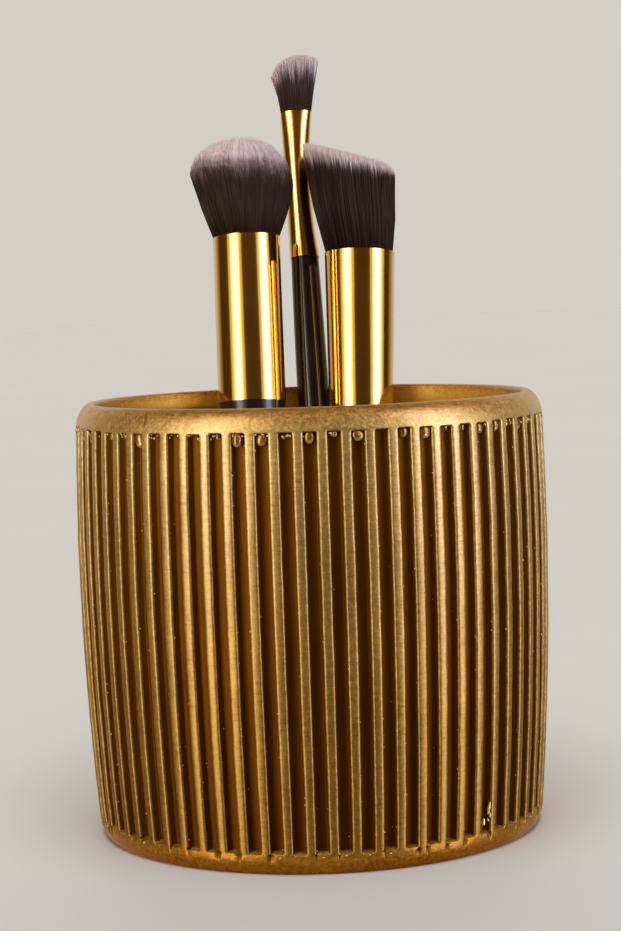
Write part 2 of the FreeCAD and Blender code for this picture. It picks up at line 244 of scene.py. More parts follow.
# Painted shade by how far a place is sunk into a groove: rib gold on the faces, darker down the sides and in
# the grooves
GROOVE_SHADE_COLOURS = ((0.0, RIB_GOLD), (0.1, RIB_SIDE_SHADE_GOLD), (0.3, GROOVE_SHADE_BROWN), (1.0, GROOVE_DEEP_SHADE_BROWN))
RIB_TOP_CAVITY = 0.09  # a rib's face ends at this much sinking
GROOVE_DULL_CAVITY = 0.4  # and a groove's dull finish is full from here
RIB_METAL_SHARE = 0.78
RIB_GLOSS_SHARE = 0.75  # of clear gloss, high up on the ribs
RIB_GLOSS_ROUGHNESS = 0.3
GLOSS_LEVELS = (0.35, 0.85)  # the gloss comes in between these shares of the height
RIB_SPECULAR = 0.02
RIB_ROUGHNESS = (0.30, 0.54)
SMOOTH_ROUGHNESS = 0.27  # of the inside and the base band
INSIDE_RELIEF_SHARE = 0.1
GRAIN_MIDDLE = 0.5  # of the grain's values, which go a span to either side
GRAIN_SPAN = 0.3
EDGE_HIGHLIGHT_FLECKS = (0.35, 1.0, 0.35, 0.62)  # least and most painted highlight of an edge, and the flecks that give it
RIDGE_STREAKS = (0.4, 0.8)  # strength of the streaks on a rib's face and on its edge
DULL_METAL_SHARE = 0.4
RIB_GRAIN_SHARE = 0.6
STREAK_RELIEF_SHARE = 0.5
RIB_CLOUDS = ((0.3, (0.86, 0.84, 0.80)), (0.7, (1.08, 1.07, 1.05)))
RIB_STREAKS = ((0.3, (0.4, 0.32, 0.22)), (0.46, (1.0, 1.0, 1.0)), (0.75, (1.2, 1.22, 1.25)))
BAND_GRAIN = ((0.34, (0.74, 0.67, 0.54)), (0.5, (1.0, 1.0, 1.0)), (0.64, (1.26, 1.36, 1.68)))
# Tint by height, as a share of the pot's: painted shade that makes it warmer and darker towards the base,
# painted light that brightens the rim band, painted shade that darkens the rim's crest
LEVEL_LIGHT_AND_SHADE = ((0.0, (0.80, 0.46, 0.12)), (0.035, (0.82, 0.57, 0.24)), (0.06, (0.76, 0.66, 0.44)),
               (0.26, (0.81, 0.73, 0.53)), (0.52, (0.88, 0.82, 0.65)), (0.8, (1.0, 1.0, 1.0)),
               (0.955, (1.19, 1.30, 1.40)), (0.985, (1.05, 0.92, 0.74)), (1.0, (0.76, 0.60, 0.40)))
CREST_BAND = (0.965, 0.99)  # the rim's crest comes in between these
CREST_STREAK_SHARE = 0.7
LOW_BAND = (0.03, 0.05)  # the plain band ends between these shares of the height
INSIDE_CLOUDS = ((0.3, (0.66, 0.41, 0.043)), (0.7, (0.82, 0.54, 0.062)))
BEAD_AMBERS = ((0.35, (0.20, 0.085, 0.008)), (0.65, (0.36, 0.17, 0.02)))
# pale gold of the beads and flakes, also the painted highlight on the blisters' lower edges and the specks'
# painted glint
BEAD_PALE_GOLD = (0.85, 0.63, 0.30)
BEAD_METAL_SHARE = 0.7
BEAD_GLOSS_SHARE = 0.4
BEAD_GLOSS_ROUGHNESS = 0.1
BEAD_ROUGHNESS = (0.22, 0.36)
METAL_GOLDS = ((0.3, (0.92, 0.53, 0.09)), (0.7, (0.96, 0.57, 0.115)))
METAL_ROUGHNESS = (0.10, 0.16)
METAL_GLOSS_ROUGHNESS = 0.08
METAL_GLOSS_IOR = 1.6
LACQUER_BLACKS = ((0.3, (0.010, 0.006, 0.004)), (0.7, (0.016, 0.010, 0.007)))
LACQUER_ROUGHNESS = (0.07, 0.16)
GLUE_AMBERS = ((0.35, (0.42, 0.27, 0.10)), (0.65, (0.60, 0.44, 0.22)))
GLUE_ROUGHNESS = (0.25, 0.55)
FLOOR_GREYS = ((0.3, (0.71, 0.735, 0.76)), (0.7, (0.73, 0.755, 0.78)))
FLOOR_ROUGHNESS = (0.55, 0.65)
# Hair from its dark foot to its pale tip, and the spread between hairs
HAIR_COLOURS = ((0.0, (0.038, 0.019, 0.012)), (0.3, (0.067, 0.041, 0.037)), (0.6, (0.22, 0.160, 0.162)),
                (0.85, (0.43, 0.338, 0.326)), (1.0, (0.57, 0.45, 0.425)))
HAIR_TONES = ((0.0, (0.76, 0.75, 0.75)), (1.0, (1.15, 1.14, 1.14)))
HAIR_STRANDS = ((0.34, (0.66, 0.65, 0.65)), (0.5, (1.0, 1.0, 1.0)), (0.66, (1.26, 1.26, 1.26)))
HAIR_STRAND_SIZE = 0.42
HAIR_ROUGHNESS = (0.5, 0.65)
HAIR_SPECULAR = 0.15
GRAIN_SIZE = 0.55
FLECK_SIZE = 1.1
CLOUD_SIZE = 16.0
STREAK_SIZE = 0.34
SMEAR_SIZE = 7.0
STREAK_STRETCH = (0.1, 0.1, 1.0)
GRAIN_DEPTH = 0.06
LACQUER_WAVE_DEPTH = 0.01
METAL_DUST_DEPTH = 0.003
GLUE_BUBBLE_DEPTH = 0.1
BEAD_BUMP_DEPTH = 0.03

rng = np.random.default_rng(SEED)
UP = Vector((0.0, 0.0, 1.0))


def lay_faces(rows, columns, start=0):
    """Quads of a closed band of rows, each a ring of columns, numbered from start."""
    ring = np.arange(columns)
    after = (ring + 1) % columns
    faces = []
    for row in range(rows - 1):
        low = start + row * columns
        high = low + columns
        faces.append(np.stack([low + ring, low + after, high + after, high + ring], axis=1))
    return np.concatenate(faces)


def add_object(name, data):
    """A new object of the scene."""
    made = bpy.data.objects.new(name, data)
    bpy.context.scene.collection.objects.link(made)
    return made


def make_object(name, points, faces, material, body, attributes):
    """A smooth mesh object from points in millimetres, riding on a body of the frame."""
    mesh = bpy.data.meshes.new(name)
    mesh.from_pydata((np.asarray(points) * MM).tolist(), [], [list(map(int, face)) for face in faces])
    mesh.shade_smooth()
    for title, values in attributes.items():
        layer = mesh.attributes.new(title, "FLOAT", "POINT")
        layer.data.foreach_set("value", np.asarray(values, dtype=np.float32))
    mesh.materials.append(material)
    made = add_object(name, mesh)
    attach(made, body)
    return made


def waves(points, length, count):
    """Smooth seeded unevenness from about -1 to 1 over points in space, with bumps about that long."""
    directions = rng.normal(size=(count, 3))
    directions /= np.linalg.norm(directions, axis=1, keepdims=True)
    phases = rng.uniform(0, math.tau, count)
    angles = np.asarray(points) @ directions.T * (math.tau / length) + phases
    return np.sin(angles).mean(axis=1) * math.sqrt(2 * count) / WAVE_PEAK


def arc(start, crown, end, steps):
    """Points on the smooth curve from start through its crown to end, both ends included."""
    start, crown, end = (np.asarray(place, dtype=float) for place in (start, crown, end))
    pull = 2 * crown - (start + end) / 2
    t = np.linspace(0, 1, steps + 1)[:, None]
    return (1 - t) ** 2 * start + 2 * t * (1 - t) * pull + t ** 2 * end


def rounded(start, corner, end, share, steps):
    """Points of a rounding from start to end that bulges towards its corner."""
    middle = (start + end) / 2
    return arc(start, middle + (corner - middle) * share, end, steps)


def barrel_side(inset):
    """Foot, crown and top of the barrel's side, set in by the given wall."""
    foot = np.array([RIM_RADIUS - FOOT_TAPER - inset, BAND_HEIGHT])
    top = np.array([RIM_RADIUS - inset, POT_HEIGHT - RIM_ROUND_HEIGHT])
    chord = top - foot
    outward = np.array([chord[1], -chord[0]]) / np.linalg.norm(chord)
    return foot, (foot + top) / 2 + outward * BARREL_SWELL, top


def barrel_levels(low, high):
    """Rows of the fluted wall: close together at the grooves' ends, wider between them."""
    reach = END_ROW_STEP * END_ROWS
    near_low = low + np.linspace(-reach / 2, reach, 2 * END_ROWS)
    near_high = high + np.linspace(-reach, reach / 2, 2 * END_ROWS)
    count = int((near_high[0] - near_low[-1]) / BARREL_ROW_STEP)
    middle = np.linspace(near_low[-1], near_high[0], count + 1)[1:-1]
    return np.concatenate([near_low, middle, near_high])


def outer_profile():
    """Radius and height of every outside row from the table up to the inner lip."""
    foot, crown, top = barrel_side(0)
    bevel_top = np.array([foot[0] - BAND_LIP / 2, BAND_BEVEL_HEIGHT])
    bevel_low = np.array([foot[0] - BAND_BEVEL_WIDTH, BAND_LIP])
    base = np.array([bevel_low[0] - BAND_LIP, 0])
    band = [base, bevel_low, (bevel_low * 2 + bevel_top) / 3, (bevel_low + bevel_top * 2) / 3, bevel_top]
    levels = barrel_levels(foot[1] + GROOVE_END_MARGIN, top[1] - GROOVE_END_MARGIN)
    side = arc(foot, crown, top, SIDE_STEPS)
    wall = np.stack([np.interp(levels, side[:, 1], side[:, 0]), levels], axis=1)
    wall[:, 0] = np.where(levels < foot[1], foot[0], wall[:, 0])
    crest = np.array([RIM_RADIUS - RIM_ROUND_WIDTH, POT_HEIGHT])
    rim = rounded(top, np.array([top[0], crest[1]]), crest, RIM_BULGE_SHARE, RIM_STEPS)[1:]
    mouth = RIM_RADIUS - WALL
    lip_out = np.array([mouth + LIP_RADIUS, POT_HEIGHT])
    lip_in = np.array([mouth, POT_HEIGHT - LIP_RADIUS])
    lip = rounded(lip_out, np.array([mouth, POT_HEIGHT]), lip_in, QUARTER_ROUND_SHARE, LIP_STEPS)
    return np.concatenate([band, wall, rim, lip])


def inner_profile():
    """Radius and height of the rows inside, from below the lip to the floor's middle rings."""
    foot, crown, top = barrel_side(WALL)
    corner_top = np.array([foot[0], FLOOR_THICKNESS + FLOOR_CORNER_RADIUS])
    corner_end = np.array([foot[0] - FLOOR_CORNER_RADIUS, FLOOR_THICKNESS])
    corner = np.array([corner_top[0], corner_end[1]])
    wall = arc(top, crown, corner_top, INNER_STEPS)
    round_in = rounded(corner_top, corner, corner_end, QUARTER_ROUND_SHARE, CORNER_STEPS)[1:]
    floor = [np.array([corner_end[0] * share, FLOOR_THICKNESS]) for share in FLOOR_RING_SHARES]
    return np.concatenate([wall, round_in, floor])


def groove_columns():
    """For each column: its groove, signed offset, shares of depth and painted edge highlight, whether it is
    mid-rib.
    """
    offsets = [-offset for offset in reversed(GROOVE_OFFSETS)] + [0.0, *GROOVE_OFFSETS, 0.0]
    depths = [*reversed(GROOVE_DEPTH_SHARES), 1.0, *GROOVE_DEPTH_SHARES, 0.0]
    edges = [*reversed(GROOVE_HIGHLIGHT_SHARES), 0.0, *GROOVE_HIGHLIGHT_SHARES, 0.0]
    mid_rib = [False] * (len(offsets) - 1) + [True]
    groove = np.repeat(np.arange(GROOVE_COUNT), len(offsets))
    return groove, *(np.tile(values, GROOVE_COUNT) for values in (offsets, depths, edges, mid_rib))


def groove_angle(groove):
    """Where a groove's middle lies, in radians; groove 0 faces the viewer."""
    return math.tau * np.asarray(groove) / GROOVE_COUNT - math.tau / 4


def strays(count, levels):
    """Seeded wandering of count lines along the given levels, from -1 to 1."""
    knots = np.arange(levels.min() - WANDER_STEP, levels.max() + 2 * WANDER_STEP, WANDER_STEP)
    values = rng.uniform(-1, 1, (count, len(knots)))
    smooth = (values + np.roll(values, 1, axis=1)) / 2
    return np.stack([np.interp(levels, knots, line) for line in smooth])


def outer_surface():
    """Points of the outside with its flutes, pits, crack and strays, their finish shares with painted
    highlight and painted shade, the ring size.
    """
    profile = outer_profile()
    radius, level = profile[:, 0], profile[:, 1]
    groove, offset, depth_share, highlight_share, mid_rib = groove_columns()
    foot, _, top = barrel_side(0)
    ends = rng.uniform(-END_WANDER, END_WANDER, (2, GROOVE_COUNT))
    low_end = foot[1] + GROOVE_END_MARGIN + ends[0]
    high_end = top[1] - GROOVE_END_MARGIN + ends[1]
    above_end = level[:, None] - low_end[groove]
    inside = np.minimum(above_end, high_end[groove] - level[:, None])
    end_share = np.interp(inside, END_DISTANCES, END_DEPTH_SHARES)
    tangent = np.gradient(profile, axis=0)
    tangent /= np.linalg.norm(tangent, axis=1, keepdims=True)
    share = end_share * depth_share
    share[level > top[1]] = 0
    left_edge = strays(GROOVE_COUNT, level)[groove].T
    right_edge = strays(GROOVE_COUNT, level)[groove].T
    stray = np.where(offset < 0, left_edge, right_edge) * np.where(offset == 0, 0, EDGE_WANDER)
    half_step = math.pi / GROOVE_COUNT
    angle = groove_angle(groove) + np.where(mid_rib, half_step, (offset + stray) / radius[:, None])
    normal = np.stack([tangent[:, 1], -tangent[:, 0]], axis=1)
    scar = pits(angle, level, radius) + crack(angle, level, radius)
    sunk = share * GROOVE_DEPTH + scar
    reach = radius[:, None] - sunk * normal[:, :1]
    height = level[:, None] - sunk * normal[:, 1:] + 0 * angle
    points = np.stack([reach * np.cos(angle), reach * np.sin(angle), height], axis=2).reshape(-1, 3)
    uneven = SURFACE_WANDER * sum(waves(points, length, WAVE_COUNT) for length in SURFACE_WAVE_LENGTHS)
    lift = np.clip((points[:, 2] - BAND_LIP) / BAND_LIP, 0, 1)
    points[:, :2] *= (1 + uneven * lift / RIM_RADIUS)[:, None]
    low_highlight = np.interp(above_end, LOW_EDGE_DISTANCES, LOW_EDGE_HIGHLIGHT_SHARES) * depth_share
    finish = {"cavity": share,
              # painted highlight along the ribs' edges and the grooves' lower ends
              "edge": np.maximum(end_share * highlight_share, low_highlight),
              "rib": np.interp(inside, RIB_FADE_DISTANCES, (0, 1)),
              "scar": np.clip(scar / CRACK_DEPTH, 0, 1)}
    return points, {title: values.reshape(-1) for title, values in finish.items()}, len(groove)


def pits(angle, level, radius):
    """Depth of the little holes in the base band under the grooves' ends."""
    depth = np.zeros_like(angle)
    for groove in np.flatnonzero(rng.uniform(size=GROOVE_COUNT) < PIT_SHARE):
        at = groove_angle(groove) + rng.choice([-1, 1]) * GROOVE_HALF_WIDTH / RIM_RADIUS
        pit_level = PIT_LEVEL + rng.normal() * PIT_RADIUS / 2
        size = PIT_RADIUS * rng.uniform(*PIT_RADIUS_SHARES)
        turn = (angle - at + math.pi) % math.tau - math.pi
        distance = np.hypot(turn * radius[:, None], level[:, None] - pit_level)
        depth += PIT_DEPTH * np.exp(-((distance / size) ** PIT_STEEPNESS))
    return depth


def crack(angle, level, radius):
    """Depth of the hairline that runs down the rim band."""
    wander = CRACK_WANDER * np.sin(level * math.tau / RIM_ROUND_HEIGHT) / RIM_RADIUS
    turn = (angle - math.radians(CRACK_AT) - wander[:, None] + math.pi) % math.tau - math.pi
    across = turn * radius[:, None] / CRACK_WIDTH
    bottom = POT_HEIGHT - RIM_ROUND_HEIGHT
    along = np.clip((level - bottom) / RIM_ROUND_WIDTH, 0, 1) * (level < POT_HEIGHT - LIP_RADIUS)
    return CRACK_DEPTH * np.exp(-across ** 2) * along[:, None]


def rings(profile, angles):
    """Points of level rings with the given radii and heights."""
    radius, level = profile[:, :1], profile[:, 1:]
    points = np.stack([radius * np.cos(angles), radius * np.sin(angles), level + 0 * angles], axis=2)
    return points.reshape(-1, 3)


def fan(ring_start, columns, middle, outward):
    """Triangles from a ring to its middle point; outward sets which way they face."""
    ring = ring_start + np.arange(columns)
    after = ring_start + (np.arange(columns) + 1) % columns
    corners = [ring, after] if outward else [after, ring]
    return np.stack(corners + [np.full(columns, middle)], axis=1).tolist()


def stitch(fine_start, fine_columns, coarse_start, coarse_columns, outward):
    """Faces that join a fine ring to a coarse one; outward sets which way they face."""
    per_face = fine_columns // coarse_columns
    faces = []
    for face in range(coarse_columns):
        fine = [fine_start + (face * per_face + step) % fine_columns for step in range(per_face + 1)]
        coarse = [coarse_start + (face + 1) % coarse_columns, coarse_start + face]
        corners = fine + coarse
        faces.append(corners if outward else corners[::-1])
    return faces


def make_pot(material):
    """The cast pot as one closed mesh: fluted outside, plain inside and underside."""
    outer, finish, columns = outer_surface()
    coarse = 2 * GROOVE_COUNT
    half = columns // coarse
    angles = np.arctan2(outer[:columns:half, 1], outer[:columns:half, 0])
    inner = rings(inner_profile(), angles)
    inner[:, :2] *= (1 + SURFACE_WANDER * waves(inner, INNER_WAVE_LENGTH, WAVE_COUNT) / RIM_RADIUS)[:, None]
    base_radius = np.hypot(*outer[0, :2])
    under = rings(np.array([[base_radius * share, 0] for share in UNDER_RING_SHARES]), angles)
    inner_start = len(outer)
    under_start = inner_start + len(inner)
    middle_start = under_start + len(under)
    middles = np.array([[0, 0, FLOOR_THICKNESS], [0, 0, 0]])
    faces = lay_faces(len(outer) // columns, columns).tolist()
    faces += stitch(inner_start - columns, columns, inner_start, coarse, True)
    faces += lay_faces(len(inner) // coarse, coarse, inner_start).tolist()
    faces += stitch(0, columns, under_start, coarse, False)
    faces += lay_faces(len(under) // coarse, coarse, under_start)[:, ::-1].tolist()
    faces += fan(under_start - coarse, coarse, middle_start, True)
    faces += fan(middle_start - coarse, coarse, middle_start + 1, False)
    points = np.concatenate([outer, inner, under, middles])
    rest = len(points) - len(outer)
    attributes = {title: np.concatenate([values, np.zeros(rest)]) for title, values in finish.items()}
    hidden = np.zeros(len(points))
    hidden[inner_start:under_start] = 1
    hidden[middle_start] = 1
    attributes["inside"] = hidden
    pot = make_object("pot_casting", points, faces, material, "pot", attributes)
    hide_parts("pot")


def ball(subdivisions):
    """Points and faces of a rounded many-sided bead of radius 1."""
    mesh = bmesh.new()
    bmesh.ops.create_icosphere(mesh, subdivisions=subdivisions, radius=1)
    points = np.array([vert.co[:] for vert in mesh.verts])
    faces = np.array([[vert.index for vert in face.verts] for face in mesh.faces])
    mesh.free()
    return points, faces


def lumpy(points, size):
    """The same form a little out of round, scaled to the given size or sizes."""
    shifted = points + rng.uniform(0, math.tau)
    uneven = 1 + BEAD_LUMP_SHARE * waves(shifted, BEAD_WAVE_LENGTH, BEAD_WAVE_COUNT)
    return points * uneven[:, None] * size * rng.uniform(*BEAD_STRETCH_SHARES, 3)


def highlight_crescent(points):
    """How far each point of a unit ball lies in the painted highlight on the lower edge of a blister."""
    low = np.interp(-points[:, 2], CRESCENT_LEVELS, (0, 1))
    return low * np.interp(np.abs(points[:, 0]), CRESCENT_SIDES, (1, 0))


def blisters():
    """Blisters and beads at the grooves' upper ends: points, faces, paleness, angle, level and depth."""
    _, _, top = barrel_side(0)
    high_end = top[1] - GROOVE_END_MARGIN
    drop_points, drop_faces = ball(FORM_DIVISIONS["blister"])
    bead_points, bead_faces = ball(FORM_DIVISIONS["bead"])
    drop_highlight = highlight_crescent(drop_points)
    bead_pale = np.full(len(bead_points), BEAD_PALE)
    forms = []
    for groove in range(GROOVE_COUNT):
        middle = groove_angle(groove)
        chance = rng.uniform()
        widths = []
        if chance < BLISTER_CHANCES[0]:
            widths = rng.uniform(*BLISTER_HALF_WIDTHS, 1)
        elif chance < sum(BLISTER_CHANCES):
            widths = rng.uniform(*SMALL_BLISTER_HALF_WIDTHS, rng.integers(1, SMALL_BLISTERS_MOST + 1))
        for half_width in widths:
            size = half_width * np.array([1, BLISTER_BULGE_SHARE, rng.uniform(*BLISTER_STRETCHES)])
            angle = middle + rng.uniform(-1, 1) * (GROOVE_HALF_WIDTH - half_width) / RIM_RADIUS
            level = high_end - size[2] * rng.uniform(*BLISTER_HANG_SHARES)
            depth = rng.uniform(*BLISTER_DEPTHS)
            forms.append((lumpy(drop_points, size), drop_faces, drop_highlight, angle, level, depth))
        for _ in range(rng.integers(BEADS_MOST + 1)):
            size = rng.uniform(*BEAD_RADII)
            angle = middle + rng.uniform(-1, 1) * GROOVE_HALF_WIDTH / RIM_RADIUS
            level = high_end - rng.uniform(0, BLISTER_HALF_WIDTHS[0])
            depth = rng.uniform(*BEAD_DEPTHS)
            forms.append((lumpy(bead_points, size), bead_faces, bead_pale, angle, level, depth))
    return forms


def specks():
    """Small beads on the ribs' edges, in the grooves and in the base band's pits, and the chip's flakes."""
    foot, _, top = barrel_side(0)
    levels = (foot[1] + GROOVE_END_MARGIN, top[1] - GROOVE_END_MARGIN)
    small_points, small_faces = ball(FORM_DIVISIONS["speck"])
    flake_points, flake_faces = ball(FORM_DIVISIONS["flake"])
    small_pale = np.full(len(small_points), SPECK_PALE_GLINT)
    flake_pale = np.interp(flake_points[:, 0], (-1, 1), FLAKE_PALES)
    forms = []
    for _ in range(SPECK_COUNT):
        size = rng.uniform(*SPECK_RADII)
        on_edge = rng.uniform() < SPECK_EDGE_SHARE
        place = rng.integers(*(SPECK_EDGE_OFFSETS if on_edge else SPECK_GROOVE_OFFSETS))
        side = rng.choice([-1, 1]) * GROOVE_OFFSETS[place]
        depth = GROOVE_DEPTH * GROOVE_DEPTH_SHARES[place]
        angle = groove_angle(rng.integers(GROOVE_COUNT)) + side / RIM_RADIUS
        level = rng.uniform(*levels)
        forms.append((lumpy(small_points, size), small_faces, small_pale, angle, level, depth))
    for groove in np.flatnonzero(rng.uniform(size=GROOVE_COUNT) < PIT_SHARE):
        size = rng.uniform(*SPECK_RADII) + SPECK_RADII[0]
        angle = groove_angle(groove) + rng.normal() * PIT_RADIUS / RIM_RADIUS
        level = PIT_LEVEL - rng.uniform(0, PIT_RADIUS)
        forms.append((lumpy(small_points, size), small_faces, small_pale, angle, level, size / 2))
    for side, level, half_width, half_height, lean in CHIP_FLAKES:
        flake = lumpy(flake_points, np.array([half_width, half_width, half_height]))
        turn = math.radians(lean)
        across = flake[:, 0] * math.cos(turn) + flake[:, 2] * math.sin(turn)
        upward = flake[:, 2] * math.cos(turn) - flake[:, 0] * math.sin(turn)
        form = np.column_stack([across, flake[:, 1], upward])
        angle = groove_angle(CHIP_GROOVE) + side / RIM_RADIUS
        forms.append((form, flake_faces, flake_pale, angle, level, half_width))
    return forms


def make_beads(material):
    """All blisters and specks as one object of closed forms sat on the barrel."""
    side = arc(*barrel_side(0), SIDE_STEPS)
    points, faces, pale = [], [], []
    count = 0
    for form, form_faces, form_pale, angle, level, depth in blisters() + specks():
        reach = np.interp(level, side[:, 1], side[:, 0]) - depth
        out = np.array([math.cos(angle), math.sin(angle), 0])
        across = np.array([out[1], -out[0], 0])
        centre = out * reach + np.array([0, 0, level])
        points.append(form[:, :1] * across + form[:, 1:2] * out + form[:, 2:] * np.array(UP) + centre)
        pale.append(form_pale)
        faces += [[count + corner for corner in face] for face in form_faces]
        count += len(form)
    finish = {"pale": np.concatenate(pale)}
    make_object("pot_beads", np.concatenate(points), faces, material, "pot", finish)


def brush_frame(body):
    """Turn and place of a brush's mouth, and the mouth's outer half sizes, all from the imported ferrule."""
    axis = next(Vector(joint["axis"]) for joint in frame["joints"] if joint["child"] == body)
    turn = np.array(UP.rotation_difference(axis).to_matrix())
    points = np.array([vert.co[:] for vert in frame["nodes"][body + "_ferrule"].data.vertices]) / MM
    local = points @ turn
    mouth = local[local[:, 2] > local[:, 2].max() - MOUTH_SLICE]
    low, high = mouth.min(axis=0), mouth.max(axis=0)
    centre = (low + high) / 2
    centre[2] = high[2]
    return turn, centre, (high - low)[:2] / 2


def dome_tip(unit):
    """Tip of each hair on the dome, from its root's place in the unit disc."""
    out = np.linalg.norm(unit, axis=1)
    fall = math.radians(DOME_SPAN) * out ** DOME_CROWD
    way = unit / np.maximum(out, sys.float_info.epsilon)[:, None]
    spread = np.sin(fall)[:, None] * way * np.array(DOME_RADII[:2])
    drop = 1 - np.cos(fall)
    height = DOME_CENTRE[2] + DOME_RADII[2] * np.cos(fall) - DOME_TILT * spread[:, 0] * drop
    return np.column_stack([spread + np.array(DOME_CENTRE[:2]), height])


def dome_above(points):
    """Height of each point over the level where the dome begins to pale."""
    return points[:, 2] - DOME_LIGHT_LEVEL


def angled_top(x, y):
    """Height of the slanted top over a place."""
    rightward = math.tan(math.radians(ANGLED_SLANT))
    away = math.tan(math.radians(ANGLED_FRONT_SLANT))
    return ANGLED_TOP - rightward * x + away * y


def angled_tip(unit):
    """Tip of each hair on the slanted top, which is rounded off along its edge."""
    out = np.linalg.norm(unit, axis=1)
    x = ANGLED_CENTRE[0] + ANGLED_HALF[0] * unit[:, 0]
    y = ANGLED_CENTRE[1] + ANGLED_HALF[1] * unit[:, 1]
    near_edge = np.clip((out - ANGLED_EDGE_START_SHARE) / (1 - ANGLED_EDGE_START_SHARE), 0, 1)
    all_round, rightward = ANGLED_EDGE_SHARES
    drop = ANGLED_EDGE_DROP * near_edge ** 2 * (all_round + rightward * unit[:, 0])
    return np.column_stack([x, y, angled_top(x, y) - drop])


def angled_above(points):
    """The same for the slanted tuft, whose level follows its top."""
    below = angled_top(points[:, 0], points[:, 1]) - points[:, 2]
    return ANGLED_LIGHT_BAND - ANGLED_LIGHT_TAPER * points[:, 0] - below


def fan_top(x):
    """Height of the fan's round crown over a place."""
    across = np.clip((x - FAN_CROWN_CENTRE[0]) / FAN_CROWN_HALF[0], -1, 1)
    return FAN_CROWN_CENTRE[1] + FAN_CROWN_HALF[1] * np.sqrt(1 - across ** 2)


def fan_tip(unit):
    """Tip of each hair along the fan's round crown."""
    x = FAN_SIDE + FAN_HALF[0] * unit[:, 0]
    y = FAN_HALF[1] * unit[:, 1]
    return np.column_stack([x, y, fan_top(x) - FAN_EDGE_DROP * unit[:, 1] ** 2])


def fan_above(points):
    """The same for the fan, whose level follows its crown."""
    return FAN_LIGHT_BAND - (fan_top(points[:, 0]) - points[:, 2])


TUFTS = {
    "dome_brush": (dome_tip, dome_above),
    "angled_brush": (angled_tip, angled_above),
    "fan_brush": (fan_tip, fan_above),
}


def hair_pull(body, root, tip):
    """The point that each hair's curve is drawn towards on its way."""
    root_share, out_share, up_share = HAIR_BEND_SHARES[body]
    pull = root_share * root + out_share * (tip - root)
    pull[:, 0] += HAIR_SHIFTS[body]
    pull[:, 2] = up_share * tip[:, 2]
    return pull


def hair_light(body, points, stray, clump):
    """How light a hair is at each point: 0 or less dark, 1 or more the pale tip."""
    length, by_hair, by_clump, most = PALINGS[body]
    _, above_of = TUFTS[body]
    return np.minimum((above_of(points) + by_hair * stray + by_clump * clump) / length, most)


def along_hair(root, pull, tip, t):
    """Points on each hair's curve at the shares t of its way."""
    t = np.asarray(t)[..., None]
    return (1 - t) ** 2 * root + 2 * t * (1 - t) * pull + t ** 2 * tip


def hair_lines(body, unit, half):
    """Root, pull and tip of hairs from their roots' places in the unit disc."""
    tip_of, _ = TUFTS[body]
    root = np.column_stack([unit * half * ROOT_SHARE, np.zeros(len(unit))])
    tip = tip_of(unit)
    pull = hair_pull(body, root, tip)
    root[:, 2] = -ROOT_SINK
    return root, pull, tip


def clump_values(body, unit):
    """A seeded value from -1 to 1 for each hair, shared by the hairs of one clump."""
    across, deep = CLUMP_GRIDS[body]
    grid = rng.uniform(-1, 1, (across + 1, deep + 1))
    cells = np.round((unit + 1) / 2 * np.array([across, deep])).astype(int)
    return grid[cells[:, 0], cells[:, 1]]


def grow_hairs(body, half):
    """Single closed hairs of a tuft: points and faces, and the light, tone and lie of each point."""
    count = STRAND_COUNTS[body]
    out = rng.uniform(0, 1, count) ** STRAND_OUTWARD
    bearing = rng.uniform(0, math.tau, count)
    way = np.column_stack([np.cos(bearing), np.sin(bearing)])
    unit = out[:, None] * way
    root, pull, tip = hair_lines(body, unit, half)
    clump = clump_values(body, unit)
    stray = rng.uniform(-1, 1, count)
    tip[:, :2] += rng.normal(size=(count, 2)) * TIP_SCATTER
    end = np.minimum(rng.normal(END_SHARE, END_SCATTER_SHARE, count), 1)
    width = STRAND_RADIUS * rng.uniform(*STRAND_RADIUS_SHARES, count)
    tone = rng.uniform(0, 1, count)
    places = along_hair(root[:, None], pull[:, None], tip[:, None], end[:, None] * np.array(STRAND_LEVELS))
    spokes = math.tau * np.arange(STRAND_SIDES) / STRAND_SIDES
    spoke = np.column_stack([np.cos(spokes), np.sin(spokes), np.zeros(STRAND_SIDES)])
    thick = width[:, None] * np.array(STRAND_WIDTH_SHARES)
    ring_points = places[:, :, None] + thick[:, :, None, None] * spoke
    ends = along_hair(root, pull, tip, end)
    per_hair = len(STRAND_LEVELS) * STRAND_SIDES + 1
    points = np.concatenate([ring_points.reshape(count, -1, 3), ends[:, None]], axis=1).reshape(-1, 3)
    faces = []
    for corners in hair_faces(len(STRAND_LEVELS)):
        faces += (np.array(corners) + per_hair * np.arange(count)[:, None]).tolist()
    light = hair_light(body, points, np.repeat(stray, per_hair), np.repeat(clump, per_hair))
    lie = way * out[:, None] ** STROKE_POWERS[body]
    return points, faces, light, np.repeat(tone, per_hair), np.repeat(lie, per_hair, axis=0)


def make_tuft(body, material):
    """A tuft of single closed hairs over a dark heart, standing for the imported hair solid."""
    turn, centre, half = brush_frame(body)
    hairs, faces, *hair_values = grow_hairs(body, half)
    core, core_faces, *core_values = tuft_core(body, half, len(hairs))
    light, tone, lie = (np.concatenate(values) for values in zip(hair_values, core_values))
    lie = lie * half[0] * MM
    attributes = {"light": light, "tone": tone, "lie_x": lie[:, 0], "lie_y": lie[:, 1]}
    points = (np.concatenate([hairs, core]) + centre) @ turn.T
    faces += core_faces
    tuft = make_object(body + "_bristles", points, faces, material, body, attributes)
    tuft.visible_glossy = body != UNREFLECTED_TUFT
    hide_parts(body + "_hair")


def hair_faces(levels):
    """Faces of one closed hair: its foot, its sides and its point."""
    sides = STRAND_SIDES
    tip = levels * sides
    faces = [list(range(sides))[::-1]]
    for level in range(levels - 1):
        for side in range(sides):
            low = level * sides
            after = (side + 1) % sides
            faces.append([low + side, low + after, low + sides + after, low + sides + side])
    for side in range(sides):
        faces.append([tip - sides + side, tip - sides + (side + 1) % sides, tip])
    return faces


